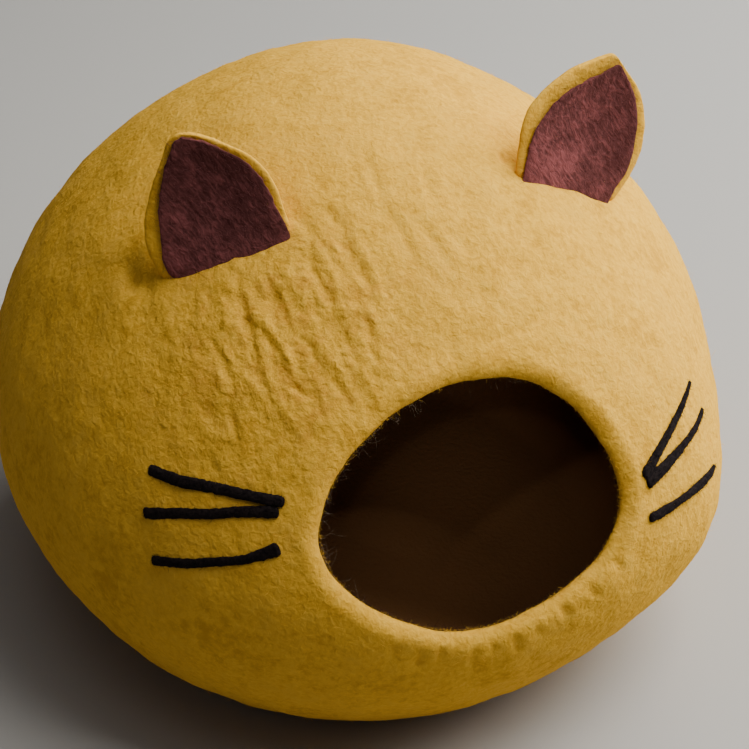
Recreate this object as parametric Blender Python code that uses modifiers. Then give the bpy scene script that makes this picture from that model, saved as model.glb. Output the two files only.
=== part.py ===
"""Felt cat cave: a wet-felted wool pod with a rolled-in mouth, two lined ears and six whiskers.

Metres, +Z up.  The mouth faces -Y.  The pod stands on its pressed-flat underside at z = 0, and
the origin is in the middle of it.  Places on the pod are headings from the middle of its girth:
the azimuth turns from the front (-Y) towards +X and the elevation rises from the girth, both in
degrees.
"""
import math
from typing import NamedTuple

import bmesh
import bpy
from mathutils import Vector

# The pod: one felted wall, blown up over a flat floor.
POD_WIDTH = 0.450
POD_DEPTH = 0.484
GIRTH_HEIGHT = 0.129        # the widest level, above the floor
CROWN_RISE = 0.213          # from the girth up to the crown
BELLY_DROP = 0.195          # from the girth down to where the belly would close below the floor
CROWN_SLACK = 0.36          # how far the shoulders sink inside a true ellipsoid, 0 for not at all
BELLY_SLACK = 0.39
PLAN_SQUARENESS = 0.07
FLOOR_EASE = 0.008          # height of the soft turn from the belly to the flat underside
WALL = 0.008
POD_SEGMENTS = 48
POD_RINGS = 30

# The mouth, measured where the wall starts to roll in.
MOUTH_ELEVATION = 17.4
MOUTH_HALF_WIDTH = 0.1073
MOUTH_HALF_HEIGHT = 0.0873
LIP_RADIUS = 0.0105
LIP_CURL = math.radians(82)
LIP_RINGS = 5
LIP_EDGE_ROUNDING = 0.003

# The ears: a felt back with a thinner, smaller lining laid on its front.
EAR_THICKNESS = 0.0045
LINING_THICKNESS = 0.0025
LINING_INSET = 0.004
EAR_TIP_WIDTH = 0.005
EAR_DISH = 0.004
EAR_CELLS = 8
EAR_EDGE_ROUNDING = 0.0010

# The whiskers: flat felted strands that lie on the pod.
WHISKER_WIDTH = 0.0058
WHISKER_HEIGHT = 0.0022
WHISKER_CELLS = 14
WHISKER_EDGE_ROUNDING = 0.0009
WHISKER_END_TAPER = 0.35

SEAT_GAP = 0.0005           # between the pod and what is felted on to it
LAYER_GAP = 0.0006          # between an ear and its lining, whose facets cross
TANGENT_STEP = 0.002        # radians, for tangents taken by difference

GIRTH_MIDDLE = Vector((0.0, 0.0, GIRTH_HEIGHT))


class Swell(NamedTuple):
    """A soft hand-made swell in the wall, or a hollow where its height is negative."""
    azimuth: float
    elevation: float
    spread: float
    height: float


class Ear(NamedTuple):
    """An ear between the feet of its left and right edges, seen from the front, and its tip."""
    left_foot: tuple
    right_foot: tuple
    tip: tuple
    left_bulge: float
    left_bulge_at: float
    right_bulge: float
    right_bulge_at: float


class Wave(NamedTuple):
    """An uneven wave round the mouth: how often, how high, and at which turn it first crests."""
    times: int
    share: float
    crest: float


class Whisker(NamedTuple):
    """A strand through three headings, from the end beside the mouth outwards."""
    inner: tuple
    middle: tuple
    outer: tuple


SWELLS = (
    Swell(azimuth=63, elevation=9, spread=16, height=-0.0055),
    Swell(azimuth=40, elevation=-4, spread=15, height=0.0075),
    Swell(azimuth=14, elevation=-19, spread=15, height=-0.0018),
    Swell(azimuth=-45, elevation=-24, spread=15, height=0.0011),
    Swell(azimuth=165, elevation=63, spread=15, height=0.0020),
    Swell(azimuth=96, elevation=38, spread=14, height=0.0008),
    Swell(azimuth=80, elevation=37, spread=9, height=0.0030),
)

# How the mouth strays from a true ellipse, as shares of its half-width.
MOUTH_WAVES = (
    Wave(times=1, share=0.032, crest=121),
    Wave(times=3, share=0.023, crest=-43),
    Wave(times=4, share=0.014, crest=-14),
    Wave(times=5, share=0.013, crest=-26),
)

EARS = {
    "left": Ear(left_foot=(-63.9, 45.9), right_foot=(-35.7, 58.1), tip=(-0.1195, -0.0534, 0.3643),
                left_bulge=0.029, left_bulge_at=0.44, right_bulge=0.042, right_bulge_at=0.73),
    "right": Ear(left_foot=(40.7, 59.9), right_foot=(62.4, 44.3), tip=(0.1375, -0.0520, 0.3647),
                 left_bulge=0.055, left_bulge_at=0.63, right_bulge=0.055, right_bulge_at=0.69),
}

WHISKERS = {
    "left_1": Whisker(inner=(-29.6, 21.2), middle=(-39.9, 20.6), outer=(-50.0, 20.4)),
    "left_2": Whisker(inner=(-29.6, 19.1), middle=(-39.1, 17.5), outer=(-49.1, 14.5)),
    "left_3": Whisker(inner=(-29.7, 14.0), middle=(-37.0, 11.2), outer=(-46.7, 8.1)),
    "right_1": Whisker(inner=(25.8, 15.2), middle=(34.6, 17.6), outer=(43.1, 19.3)),
    "right_2": Whisker(inner=(26.1, 12.7), middle=(35.0, 13.9), outer=(43.3, 14.6)),
    "right_3": Whisker(inner=(24.8, 8.1), middle=(33.0, 7.5), outer=(41.5, 6.4)),
}


def heading(azimuth, elevation):
    """The unit vector that a heading in degrees points along."""
    turn, rise = math.radians(azimuth), math.radians(elevation)
    return Vector((math.sin(turn) * math.cos(rise), -math.cos(turn) * math.cos(rise), math.sin(rise)))


def skin(direction, lift=0.0):
    """The point on the pod's outside in a direction from the middle of the girth."""
    across = (direction.x / (POD_WIDTH / 2)) ** 2
    along = (direction.y / (POD_DEPTH / 2)) ** 2
    plan = across + along - PLAN_SQUARENESS * across * along / max(across + along, 1e-12)
    reach, slack = (CROWN_RISE, CROWN_SLACK) if direction.z >= 0 else (BELLY_DROP, BELLY_SLACK)
    rise = (direction.z / reach) ** 2
    distance = (plan + rise + slack * plan * rise / (plan + rise)) ** -0.5 + lift
    for swell in SWELLS:
        away = heading(swell.azimuth, swell.elevation).angle(direction) / math.radians(swell.spread)
        distance += swell.height * math.exp(-away ** 2)
    point = GIRTH_MIDDLE + distance * direction
    point.z = stand_on_floor(point.z)
    return point


def stand_on_floor(height):
    """Presses what would hang below the floor flat on to it, with a soft turn at its edge."""
    if height > FLOOR_EASE:
        return height
    if height < -FLOOR_EASE:
        return 0.0
    return (height + FLOOR_EASE) ** 2 / (4 * FLOOR_EASE)


def skin_normal(direction):
    """The outward normal of the pod's outside."""
    side = direction.orthogonal().normalized()
    other = direction.cross(side)
    slopes = [skin((direction + TANGENT_STEP * way).normalized())
              - skin((direction - TANGENT_STEP * way).normalized()) for way in (side, other)]
    return slopes[0].cross(slopes[1]).normalized()


MOUTH_OUT = heading(0, MOUTH_ELEVATION)
MOUTH_ACROSS = Vector((1.0, 0.0, 0.0))
MOUTH_UP = MOUTH_OUT.cross(MOUTH_ACROSS)
MOUTH_DISTANCE = (skin(MOUTH_OUT) - GIRTH_MIDDLE).length


def mouth_heading(turn, polar):
    """The direction at a polar angle from the mouth's axis and a turn round it from +X, in radians."""
    round_axis = math.cos(turn) * MOUTH_ACROSS + math.sin(turn) * MOUTH_UP
    return math.cos(polar) * MOUTH_OUT + math.sin(polar) * round_axis


def rim_polar(turn):
    """The polar angle at which the wall starts to roll in: the mouth is an uneven ellipse."""
    half = math.hypot(math.cos(turn) / MOUTH_HALF_WIDTH, math.sin(turn) / MOUTH_HALF_HEIGHT) ** -1
    for wave in MOUTH_WAVES:
        half *= 1 + wave.share * math.cos(wave.times * (turn - math.radians(wave.crest)))
    return math.atan2(half, MOUTH_DISTANCE)


def lip_point(turn, curl):
    """A point on the rolled lip, at an angle round the roll from where the wall leaves the pod."""
    start, after, before = (mouth_heading(way, rim_polar(way))
                            for way in (turn, turn + TANGENT_STEP, turn - TANGENT_STEP))
    outward = skin_normal(start)
    inward = outward.cross(skin(after) - skin(before)).normalized()
    return skin(start) + LIP_RADIUS * (math.sin(curl) * inward - (1 - math.cos(curl)) * outward)


def linear(hex_colour):
    """An sRGB colour such as "D9B04A" as the linear RGBA that a shader takes."""
    shares = [int(hex_colour[start:start + 2], 16) / 255 for start in (0, 2, 4)]
    return [share / 12.92 if share <= 0.04045 else ((share + 0.055) / 1.055) ** 2.4
            for share in shares] + [1.0]


def wool(name, hex_colour, roughness):
    """A matt wool material."""
    material = bpy.data.materials.new(name)
    material.use_nodes = True
    shader = material.node_tree.nodes["Principled BSDF"]
    shader.inputs["Base Color"].default_value = linear(hex_colour)
    shader.inputs["Roughness"].default_value = roughness
    shader.inputs["Metallic"].default_value = 0.0
    material.diffuse_color = linear(hex_colour)
    return material


def add_object(name, form, material, collection):
    """Makes an object from a bmesh."""
    mesh = bpy.data.meshes.new(name)
    form.to_mesh(mesh)
    form.free()
    mesh.materials.append(material)
    mesh.shade_smooth()
    made = bpy.data.objects.new(name, mesh)
    collection.objects.link(made)
    return made


def thicken(made, thickness, side, rounding, segments):
    """Gives an open sheet its thickness, on the outer (1) or inner (-1) side, and rounds its edges."""
    solidify = made.modifiers.new("thickness", "SOLIDIFY")
    solidify.thickness = thickness
    solidify.offset = side
    solidify.use_even_offset = True
    bevel = made.modifiers.new("rounded edge", "BEVEL")
    bevel.limit_method = "ANGLE"
    bevel.angle_limit = math.radians(50)
    bevel.width = rounding
    bevel.segments = segments


def settle_on_pod(made):
    """Applies a piece's modifiers and lifts what then dips under the pod's outside back on to it."""
    settled = bpy.data.meshes.new_from_object(made.evaluated_get(bpy.context.evaluated_depsgraph_get()))
    made.modifiers.clear()
    made.data = settled
    for vertex in settled.vertices:
        reach = vertex.co - GIRTH_MIDDLE
        seat = skin(reach.normalized(), SEAT_GAP)
        if reach.length < (seat - GIRTH_MIDDLE).length:
            vertex.co = seat


def make_pod(material, collection):
    """The pod: a sphere with its pole opened for the mouth, drawn out to the pod's shape."""
    form = bmesh.new()
    bmesh.ops.create_uvsphere(form, u_segments=POD_SEGMENTS, v_segments=POD_RINGS, radius=1.0)
    pole = max(form.verts, key=lambda vertex: vertex.co.z)
    bmesh.ops.delete(form, geom=[pole], context="VERTS")
    last_lip_ring = LIP_RINGS + 1
    for vertex in form.verts:
        turn = math.atan2(vertex.co.y, vertex.co.x)
        ring = round(vertex.co.angle(Vector((0, 0, 1))) / math.pi * POD_RINGS)
        if ring <= LIP_RINGS:
            vertex.co = lip_point(turn, LIP_CURL * (last_lip_ring - ring) / LIP_RINGS)
        else:
            start = rim_polar(turn)
            share = (ring - last_lip_ring) / (POD_RINGS - last_lip_ring)
            vertex.co = skin(mouth_heading(turn, start + (math.pi - start) * share))
    pod = add_object("pod", form, material, collection)
    thicken(pod, WALL, -1, LIP_EDGE_ROUNDING, 2)


def laid_grid(columns, rows, place):
    """A grid of cells laid where place says, from its shares across and up."""
    form = bmesh.new()
    bmesh.ops.create_grid(form, x_segments=columns, y_segments=rows, size=1.0)
    for vertex in form.verts:
        vertex.co = place((vertex.co.x + 1) / 2, (vertex.co.y + 1) / 2)
    return form


def bow(start, control, end, share):
    """A point on the quadratic curve from start to end that leans towards control."""
    return (1 - share) ** 2 * start + 2 * share * (1 - share) * control + share ** 2 * end


class EarShape:
    """Where the points of an ear's front face are."""

    def __init__(self, ear):
        self.left, self.right = skin(heading(*ear.left_foot)), skin(heading(*ear.right_foot))
        self.tip = Vector(ear.tip)
        self.across = (self.right - self.left).normalized()
        stand = self.tip - (self.left + self.right) / 2
        self.height = stand.length
        self.facing = self.across.cross(stand).normalized()
        self.left_control = (self.left.lerp(self.tip, ear.left_bulge_at)
                             - ear.left_bulge * self.across)
        self.right_control = (self.right.lerp(self.tip, ear.right_bulge_at)
                              + ear.right_bulge * self.across)

    def edges(self, up):
        """The points on the two edges at a share of the height."""
        half_tip = EAR_TIP_WIDTH / 2 * self.across
        return (bow(self.left, self.left_control, self.tip - half_tip, up),
                bow(self.right, self.right_control, self.tip + half_tip, up))

    def point(self, across, up, inset=0.0, forward=0.0):
        """A point of the face, dished between its edges, or of one set in and forward from it."""
        up *= 1 - inset / self.height
        left, right = self.edges(up)
        margin = min(inset / (right - left).length, 0.4)
        across = margin + (1 - 2 * margin) * across
        dish = EAR_DISH * 4 * across * (1 - across) * math.sin(math.pi * up)
        face = left.lerp(right, across) + (forward - dish) * self.facing
        if up == 0:
            return skin((face - GIRTH_MIDDLE).normalized(), SEAT_GAP)
        return face


def make_ear(side, ear, back_material, lining_material, collection):
    """One ear: its back, and the lining laid on the back's front face."""
    shape = EarShape(ear)
    back = add_object(f"ear_{side}_back", laid_grid(EAR_CELLS, EAR_CELLS, shape.point),
                      back_material, collection)
    thicken(back, EAR_THICKNESS, -1, EAR_EDGE_ROUNDING, 1)
    lining_form = laid_grid(EAR_CELLS, EAR_CELLS, lambda across, up: shape.point(
        across, up, inset=LINING_INSET, forward=LAYER_GAP))
    lining = add_object(f"ear_{side}_lining", lining_form, lining_material, collection)
    thicken(lining, LINING_THICKNESS, 1, EAR_EDGE_ROUNDING / 2, 1)
    settle_on_pod(back)
    settle_on_pod(lining)


def whisker_heading(whisker, share):
    """The heading at a share of a whisker's length: a curve through its three headings."""
    ends = (1 - share) * (1 - 2 * share), 4 * share * (1 - share), share * (2 * share - 1)
    azimuth, elevation = (sum(weight * place[axis] for weight, place in zip(ends, whisker))
                          for axis in (0, 1))
    return heading(azimuth, elevation)


def make_whisker(name, whisker, material, collection):
    """One whisker: a strip laid on the pod and thickened outwards."""
    def place(along, across):
        here = whisker_heading(whisker, along)
        ahead = skin(whisker_heading(whisker, along + TANGENT_STEP))
        sideways = skin_normal(here).cross(ahead - skin(here)).normalized()
        taper = 1 - WHISKER_END_TAPER * abs(2 * along - 1) ** 10
        point = skin(here) + (across - 0.5) * WHISKER_WIDTH * taper * sideways
        return skin((point - GIRTH_MIDDLE).normalized(), SEAT_GAP)

    strand = add_object(f"whisker_{name}", laid_grid(WHISKER_CELLS, 2, place), material, collection)
    thicken(strand, WHISKER_HEIGHT, 1, WHISKER_EDGE_ROUNDING, 1)


def build():
    """Clears the scene and builds the cat cave in a collection of its own."""
    for left_over in list(bpy.data.objects):
        bpy.data.objects.remove(left_over)
    collection = bpy.data.collections.new("Felt cat cave")
    bpy.context.scene.collection.children.link(collection)
    mustard = wool("Mustard wool felt", "D2AC45", 0.95)
    burgundy = wool("Burgundy wool felt", "5C2F33", 0.97)
    black = wool("Black wool", "171318", 0.90)
    make_pod(mustard, collection)
    for side, ear in EARS.items():
        make_ear(side, ear, mustard, burgundy, collection)
    for name, whisker in WHISKERS.items():
        make_whisker(name, whisker, black, collection)


build()
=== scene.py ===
"""Felt cat cave: the looks of a wet-felted wool pod with a rolled-in mouth, ears and whiskers.

Metres, +Z up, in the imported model's own frame.  The mouth faces -Y and the pod stands on z = 0.
Places on the pod are headings from the middle of its girth: the azimuth turns from the front (-Y)
towards +X and the elevation rises from the girth, both in degrees.
"""
import math
from functools import partial
from typing import NamedTuple

import bpy
import numpy as np
from bpy.props import FloatProperty, FloatVectorProperty, IntProperty, PointerProperty
from mathutils import Matrix, Vector, noise


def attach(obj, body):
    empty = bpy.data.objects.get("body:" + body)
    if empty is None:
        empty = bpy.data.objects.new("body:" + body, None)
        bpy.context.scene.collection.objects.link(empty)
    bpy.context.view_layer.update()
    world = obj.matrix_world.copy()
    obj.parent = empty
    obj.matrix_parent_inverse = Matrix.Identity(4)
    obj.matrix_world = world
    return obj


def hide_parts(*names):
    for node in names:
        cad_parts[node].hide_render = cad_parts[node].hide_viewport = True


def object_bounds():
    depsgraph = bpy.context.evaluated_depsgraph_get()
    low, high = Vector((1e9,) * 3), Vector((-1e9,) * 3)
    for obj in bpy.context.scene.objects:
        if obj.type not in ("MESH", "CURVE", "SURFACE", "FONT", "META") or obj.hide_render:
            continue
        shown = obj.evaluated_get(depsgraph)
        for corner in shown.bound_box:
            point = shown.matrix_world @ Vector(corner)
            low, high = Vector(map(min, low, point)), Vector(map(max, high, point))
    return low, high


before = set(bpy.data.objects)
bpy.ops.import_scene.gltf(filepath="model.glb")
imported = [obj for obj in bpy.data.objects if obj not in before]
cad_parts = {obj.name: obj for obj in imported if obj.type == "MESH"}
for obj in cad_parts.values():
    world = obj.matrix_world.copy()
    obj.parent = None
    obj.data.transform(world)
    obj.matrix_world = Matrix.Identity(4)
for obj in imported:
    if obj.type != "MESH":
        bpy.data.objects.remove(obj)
CAD_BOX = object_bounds()

bl_info = {
    "name": "Felt Cat Cave",
    "version": (1, 0, 0),
    "blender": (4, 5, 0),
    "location": "3D View > Sidebar > Cat Cave",
    "description": "Felts a cat cave with its ears, whiskers and loose wool, and sets a stage for it",
    "category": "Object",
}

MM = 0.001

# The pod's shape, as its solid has it.
MOUTH_ELEVATION = 17.4
MOUTH_WOBBLE = ((1, 0.032, 121), (3, 0.023, -43), (4, 0.014, -14), (5, 0.013, -26))
CROWN_SLACK = 0.36
BELLY_SLACK = 0.39
PLAN_SQUARENESS = 0.07
FLOOR_EASE = 0.008
LIP_CURL = math.radians(82)
TANGENT_STEP = 0.002

# How finely the wall is divided: round the mouth, and from the back of the outside, round the
# lip's free edge, to the back of the inside.
POD_SEGMENTS = 360
OUTSIDE_ROWS = 186
LIP_ROWS = 11
EDGE_ROWS = 7
LIP_INSIDE_ROWS = 5
INSIDE_ROWS = 36
POD_ROWS = OUTSIDE_ROWS + LIP_ROWS + EDGE_ROWS + LIP_INSIDE_ROWS + INSIDE_ROWS
LIP_EDGE_LENGTH = 3.2 * MM
FINE_TURN = math.radians(135)    # the side of the mouth where the segments lie closest
FINE_SHARE = 0.42
EVEN_ROWS = 0.55    # the share of the rows' spacing that doesn't widen towards the back

# The creases of the felt and half of its fibres run forwards and down from the crown.
CREASE_FLOW = np.array(Vector((0.19, -0.65, -0.74)).normalized())
CROSS_FLOW = (0.75, 0.45, -0.45)
RIPPLE_STRETCH = 4.5
FOLD_STEPS = 13
FOLD_SEED = 11
FOLD_SWAY = 0.35
SWAY_GRAIN = 0.009

# Where the felt is most wrinkled, and where its smaller folds lie: headings in degrees.
WRINKLED_MIDDLE = (-33, 43)
WRINKLED_REACH = (27, 20)
SCATTERED_FOLDS = 110
SCATTER_MIDDLE = (-32, 44)
SCATTER_SPREAD = (15, 10)
SCATTER_FADE = (28, 19)

# An ear's sheet, round its section and from its foot to its tip.
EAR_SEGMENTS = 128
EAR_ROWS = 80
EAR_CAP_ROWS = 5
EAR_EDGE_ROUNDNESS = 14
EAR_SUNK = 1.5 * MM
LINING_SUNK = 0.3 * MM
FOOT_SEARCHES = 24
TIP_SHARE = 0.10
# Where each lining is painted paler near its left foot: paler wool and painted light.
PALE_AND_LIT_PLACE = (0.012, 0.010, 0.024)    # across from the left foot, up from it, and how far round

# A whisker's strand, round its section and from its left end to its right.
WHISKER_SEGMENTS = 20
WHISKER_ROWS = 96
WHISKER_SUNK = 0.5 * MM
WHISKER_BLUNTNESS = 60
WHISKER_TUFTS = 34
WHISKER_RAGGED = 0.16

# Loose fibres, and where round the mouth the grey ones stand in tufts.
WOOL_SEED = 23
FIBRE_BEND = 0.45
FIBRE_DROOP = 0.35
FIBRE_CURL = 0.20
FIBRE_TAPER = 0.35
FIBRE_SUNK = 0.10 * MM
LINING_SLANT = (0.55, -0.25, -0.80)
SLANT_SHARE = 1.6
GREY_TUFTS = (118, 128, 140, 150, 160, 170, 185, 200, 75)

SHEEN_ROUGHNESS = 0.55
SPECULAR_LEVEL = 0.03
MIX_A, MIX_B = 6, 7    # the colours' sockets in a Mix node

CAMERA_PLACE = Vector((-0.36171, -1.04559, 0.96622))
CAMERA_AIM = Vector((0.01252, -0.00164, 0.13357))
CAMERA_LENS = 105.65
CAMERA_SENSOR = 36.0
CAMERA_ROLL = math.radians(0.275)
LIGHT_DISTANCE = 1.7
MOUTH_MIDDLE = (0.0, -0.185, 0.185)
BEAM_SOFTNESS = 0.03
SKY_COLOUR = (0.75, 0.88, 1.30, 1.0)


class Swell(NamedTuple):
    """A soft hand-made swell in the wall, or a hollow where its height is negative."""
    azimuth: float
    elevation: float
    spread: float
    height: float


class Fold(NamedTuple):
    """A raised (or, below zero, sunk) fold in the felt: its headings, and its size in millimetres."""
    path: tuple
    width: float
    height: float


class Ear(NamedTuple):
    """An ear between its two feet, seen from the front, with its tip and how far its foot bows."""
    left_foot: tuple
    right_foot: tuple
    tip: tuple
    foot_bow: float


class Width(NamedTuple):
    """Where the edges of an ear are at a height, in millimetres from its left foot."""
    height: float
    left: float
    right: float


class Stop(NamedTuple):
    """A place along a whisker: its heading, and the strand's width there in millimetres."""
    azimuth: float
    elevation: float
    width: float


class Lumps(NamedTuple):
    """Smooth lumps in the felt: their height in millimetres, their size, and the noise's seed."""
    height: float
    grain: float
    seed: int


class Light(NamedTuple):
    """A square soft light: the heading it comes from, its share of the power, and its size."""
    azimuth: float
    elevation: float
    share: float
    size: float


class Beam(NamedTuple):
    """A narrow beam that goes in through the mouth and nowhere else; its spread is in degrees."""
    azimuth: float
    elevation: float
    share: float
    spread: float


SWELLS = (
    Swell(azimuth=63, elevation=9, spread=16, height=-0.0055),
    Swell(40, -4, 15, 0.0075),
    Swell(14, -19, 15, -0.0018),
    Swell(-45, -24, 15, 0.0011),
    Swell(165, 63, 15, 0.0020),
    Swell(96, 38, 14, 0.0008),
    Swell(80, 37, 9, 0.0030),
)

FOLDS = (
    # troughs between the left ear and the mouth, and the ridges beside them
    Fold(((-49.5, 51), (-44.5, 47.5), (-41.5, 44), (-38, 40), (-35.5, 36)), width=5, height=-1.8),
    Fold(((-52, 48.5), (-47.5, 45.5), (-44, 42), (-41.5, 38)), 4.5, 0.96),
    Fold(((-40.5, 51.5), (-37, 49), (-34.5, 47), (-32.5, 44)), 5, -1.44),
    Fold(((-37.5, 47), (-36, 44), (-34.5, 41.5)), 4, 0.72),
    Fold(((-36.5, 43.5), (-35.5, 42), (-33.5, 40)), 5, -1.68),
    Fold(((-33.5, 43), (-32, 41), (-30.5, 38.5)), 4, 0.72),
    Fold(((-34, 56.5), (-29.5, 53.5), (-27, 51), (-24.5, 49), (-23.5, 46)), 5, -1.44),
    Fold(((-30.5, 57.5), (-26, 54.5), (-22, 50.5)), 5, 0.96),
    Fold(((-26, 50.5), (-23, 46.5), (-20, 42), (-18, 38.5)), 5, -1.32),
    Fold(((-25, 59), (-20, 56), (-17, 52), (-15, 48.5)), 5, -1.08),
    Fold(((-21.5, 60.5), (-16.5, 56), (-14, 51.5), (-13, 47)), 5, 0.84),
    Fold(((-16.5, 47), (-16.5, 43), (-15, 39.5)), 4.5, -1.2),
    Fold(((-29, 64), (-25.5, 61), (-22.5, 59.5)), 4, -0.96),
    Fold(((-9, 60), (-7, 55.5), (-7, 52)), 4.5, -0.84),
    Fold(((-29.5, 43.5), (-26.5, 40.5), (-24.5, 38)), 4.5, -1.32),
    Fold(((-49.5, 41.5), (-46, 39.5), (-42, 36.5), (-39.5, 33)), 4.5, -1.2),
    Fold(((-55.5, 47.5), (-53, 45), (-51, 42)), 5, 0.84),
    Fold(((-24.5, 39), (-21.5, 36), (-19.5, 34)), 4.2, -1.08),
    Fold(((-30.5, 36.5), (-27, 34.8)), 4, -1.56),
    Fold(((-40.5, 32.5), (-39, 30), (-37.5, 28)), 4, -1.08),
    # over the brow, where they are longer and shallower
    Fold(((-15.5, 75), (-11, 68.5), (-8, 63)), 6, -1.17),
    Fold(((-11, 64), (-7, 61), (-5, 57), (-5, 52)), 6, -1.04),
    Fold(((-46, 65), (-37.5, 62), (-30.5, 58.5)), 6, -1.04),
    Fold(((-30.5, 64), (-25, 62), (-22, 60)), 5, -1.04),
    Fold(((-26, 76.5), (-20, 72), (-18, 67)), 6, -0.91),
    Fold(((14, 71.5), (9, 66), (6, 61)), 7, -0.78),
    Fold(((0, 61), (3, 56), (4.5, 51)), 6, -0.91),
    Fold(((8, 58), (9.5, 55), (10.5, 52)), 5, -0.78),
    # across, above the right of the mouth
    Fold(((2.5, 46), (13, 47), (23.5, 46.5)), 7, -0.72),
    Fold(((12.5, 40), (21, 41), (29.5, 40.5)), 7, -0.72),
    Fold(((3.5, 39.5), (11.5, 40.5), (19, 40)), 6, -0.52),
    # notches under the lip of the mouth
    Fold(((-14, 1), (-14.5, -3)), 5, -1.62),
    Fold(((-10.5, 0), (-11, -4.5)), 4.5, -2.03),
    Fold(((-7.6, -0.5), (-8.2, -4)), 4, -1.76),
    Fold(((-3.2, -1.5), (-3.6, -5.8)), 5.5, -1.62),
    Fold(((-0.6, -1.5), (-0.6, -4)), 4, -1.35),
    Fold(((2.5, -1), (3, -5)), 5, -2.16),
    Fold(((5.6, -0.5), (6, -3)), 3.8, -1.49),
    Fold(((9.5, 1.5), (10.5, -2)), 5, -2.03),
    Fold(((13.5, 3), (15, 0)), 4.5, -1.35),
    Fold(((17.5, 5.5), (19.5, 2.5)), 5, -1.62),
    # dints at the feet of the ears
    Fold(((44.5, 64.5), (47, 62.5)), 10, -3.2),
    Fold(((-80, 43.5), (-72, 42.5), (-64, 42.5)), 15, -2.6),
)

EARS = {
    "left": Ear(left_foot=(-64.2, 44.8), right_foot=(-36.4, 58.6), tip=(-0.1195, -0.0534, 0.3643),
                foot_bow=0.0035),
    "right": Ear(left_foot=(40.7, 59.9), right_foot=(62.4, 44.3), tip=(0.1375, -0.0520, 0.3647),
                 foot_bow=0.0010),
}
EAR_OUTLINES = {
    "left": (Width(height=0, left=1, right=78.5), Width(10, -0.2, 79.8), Width(20, 0.3, 81),
             Width(30, 3.3, 81.5), Width(40, 8.7, 80), Width(50, 16.2, 75.3), Width(60, 25.3, 67),
             Width(68, 33, 58.5), Width(73.5, 39.5, 50), Width(75, 43, 46)),
    "right": (Width(0, -0.5, 76), Width(10, -3, 80), Width(20, -5.6, 83.5), Width(30, -7.6, 85),
              Width(40, -6.8, 84), Width(50, -2.2, 80.4), Width(60, 6, 74), Width(70, 17, 63),
              Width(78, 30.5, 48.5), Width(82.5, 38.5, 40)),
}
LINING_OUTLINES = {
    "left": (Width(height=0, left=8.5, right=78), Width(3, 6.6, 78.4), Width(8, 6.1, 78.5),
             Width(20, 9.4, 77.8), Width(30, 13.1, 77.7), Width(40, 17, 76), Width(50, 23.2, 72),
             Width(60, 30, 63.4), Width(68, 37.2, 55.2), Width(72.8, 42, 47.5)),
    "right": (Width(0, 2.4, 71), Width(7, 1.4, 72), Width(20, -0.4, 76.8), Width(30, -0.4, 76.8),
              Width(40, 3.8, 74.8), Width(50, 9.2, 71.8), Width(60, 19.4, 65.7),
              Width(70, 33.4, 55.3), Width(77.5, 42.5, 45)),
}

WHISKERS = {
    "left_1": (Stop(azimuth=-29.1, elevation=20.6, width=6.4), Stop(-34.7, 20.7, 6.2),
               Stop(-39.7, 20.7, 6.3), Stop(-45.0, 20.2, 6.8), Stop(-51.0, 20.1, 6.4)),
    "left_2": (Stop(azimuth=-29.8, elevation=19.2, width=6.8), Stop(-34.7, 18.5, 6.2),
               Stop(-39.0, 17.3, 5.8), Stop(-44.0, 16.0, 6.1), Stop(-50.3, 13.9, 6.6)),
    "left_3": (Stop(azimuth=-29.3, elevation=14.4, width=8.0), Stop(-33.8, 12.2, 5.7),
               Stop(-38.3, 10.7, 5.4), Stop(-43.0, 9.1, 5.7), Stop(-48.0, 7.7, 5.9)),
    "right_1": (Stop(azimuth=25.5, elevation=14.0, width=8.0), Stop(30.5, 15.9, 5.8),
                Stop(35.0, 17.1, 4.8), Stop(40.5, 18.2, 3.6), Stop(44.2, 18.9, 2.3)),
    "right_2": (Stop(azimuth=25.8, elevation=12.8, width=8.2), Stop(31.0, 13.3, 6.9),
                Stop(36.0, 13.5, 4.6), Stop(41.0, 13.6, 4.2), Stop(44.6, 14.0, 2.5)),
    "right_3": (Stop(azimuth=24.9, elevation=8.0, width=5.8), Stop(28.4, 7.5, 6.3),
                Stop(31.2, 7.2, 4.8), Stop(35.5, 6.6, 5.7), Stop(40.0, 5.8, 5.2),
                Stop(42.9, 5.6, 2.6)),
}

POD_LUMPS = (Lumps(height=0.9, grain=0.055, seed=1),)
OUTSIDE_LUMPS = (Lumps(height=1.05, grain=0.021, seed=2), Lumps(0.42, 0.0085, 3))
RIPPLES = (Lumps(height=1.15, grain=0.0095, seed=12), Lumps(0.75, 0.0056, 13))
EAR_LUMPS = (Lumps(height=0.5, grain=0.012, seed=5), Lumps(0.25, 0.005, 6))
LINING_LUMPS = (Lumps(height=0.9, grain=0.007, seed=7), Lumps(0.7, 0.003, 8))
WHISKER_LUMPS = (Lumps(height=0.35, grain=0.0035, seed=10),)

LIGHTS = {
    "window_low": Light(azimuth=92, elevation=15, share=0.37, size=1.3),
    "window_high": Light(118, 42, 0.265, 1.3),
    "ceiling": Light(54, 62, 0.31, 1.0),
    "forehead": Light(-25, 78, 0.05, 1.3),
    "left": Light(-90, 14, 0.009, 1.3),
}
MOUTH_BEAMS = {
    "beam_to_the_floor": Beam(azimuth=-24, elevation=42, share=0.52, spread=5.6),
    "beam_to_the_left": Beam(5, 53, 0.62, 5.0),
    "beam_to_the_back": Beam(-16, 30, 0.45, 6.0),
    "beam_to_the_right": Beam(-44, 45, 0.40, 5.2),
}


def linear(hex_colour):
    """An sRGB colour such as "D9B04A" as the linear RGBA that a shader takes."""
    shares = [int(hex_colour[start:start + 2], 16) / 255 for start in (0, 2, 4)]
    return [share / 12.92 if share <= 0.04045 else ((share + 0.055) / 1.055) ** 2.4
            for share in shares] + [1.0]


def colour_property(name, description, hex_colour):
    """A colour that a user may change."""
    return FloatVectorProperty(name=name, description=description, subtype="COLOR", size=4,
                               min=0.0, max=1.0, default=linear(hex_colour))


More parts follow.
